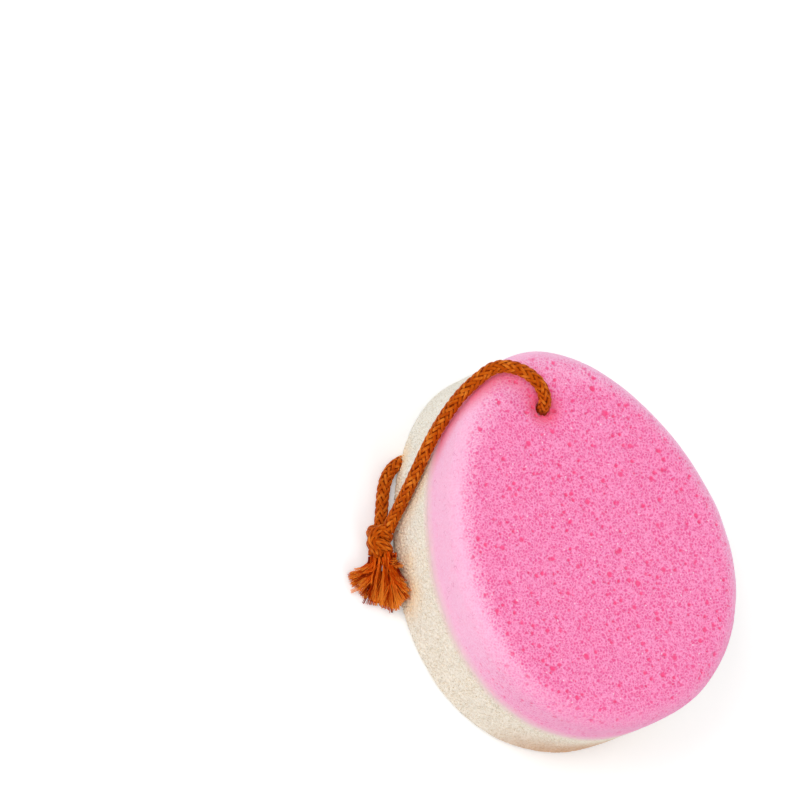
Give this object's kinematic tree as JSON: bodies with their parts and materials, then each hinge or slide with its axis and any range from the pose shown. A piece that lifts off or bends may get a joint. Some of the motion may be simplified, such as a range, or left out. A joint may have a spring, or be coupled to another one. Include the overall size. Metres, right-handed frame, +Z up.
{
  "type": "bath sponge",
  "caption": "Egg-shaped bath sponge: soft fine foam with a rounded rim bonded over coarse scrubbing foam, with a braided hanging cord looped through its narrow end.",
  "frame": {"origin": "middle of the flat underside of the coarse layer, on the surface that the sponge lies on", "axes": "+X along the sponge towards its wide end, with the cord's hole at the narrow end at -X; +Z up through the layers, coarse below and soft above"},
  "size_m": [0.1301, 0.1162, 0.0579],
  "materials": {
    "soft_foam": "fine-pored soft polyurethane foam, matte, with scattered larger pores",
    "scrub_foam": "coarse open-cell foam, matte, rough to the touch",
    "glue_film": "thin dried glue",
    "braided_cord": "tightly braided waxy yarn",
    "loose_fibres": "unravelled yarn"
  },
  "bodies": {
    "root": {"soft_layer": "soft_foam", "scrub_layer": "scrub_foam", "bond_film": "glue_film", "cord_in_hole": "braided_cord", "cord_over_rim": "braided_cord", "cord_under": "braided_cord", "knot": "braided_cord", "frayed_end_a": "loose_fibres", "frayed_end_b": "loose_fibres"}
  },
  "joints": []
}
